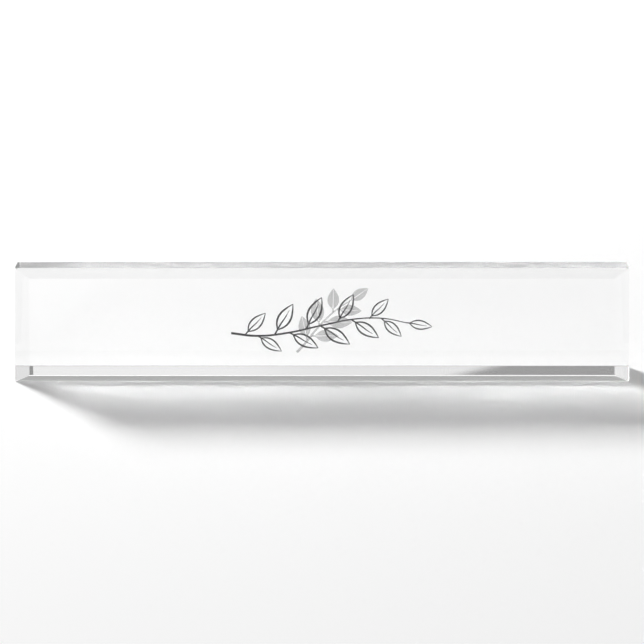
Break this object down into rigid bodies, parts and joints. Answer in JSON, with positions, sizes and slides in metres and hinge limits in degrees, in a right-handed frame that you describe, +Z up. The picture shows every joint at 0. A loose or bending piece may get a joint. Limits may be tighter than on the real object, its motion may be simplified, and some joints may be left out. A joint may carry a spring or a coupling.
{
  "type": "desk name plate",
  "caption": "Free-standing clear acrylic wedge with a leaning front framed by mitred bevels, and a printed clear film on its upright back, to mark a place on a desk.",
  "frame": {"origin": "middle of the underside, on the desk", "axes": "+X along the plate, to the right as the reader sees it; +Y from the leaning front to the upright back; +Z up"},
  "size_m": [0.254, 0.0241, 0.0452],
  "materials": {
    "clear_acrylic": "clear cast acrylic, polished on every face",
    "clear_film": "clear film, smooth, printed on its outer side",
    "black_ink": "printed black ink",
    "grey_ink": "printed light grey ink"
  },
  "bodies": {
    "root": {"acrylic_block": "clear_acrylic", "print_film": "clear_film"}
  },
  "joints": []
}
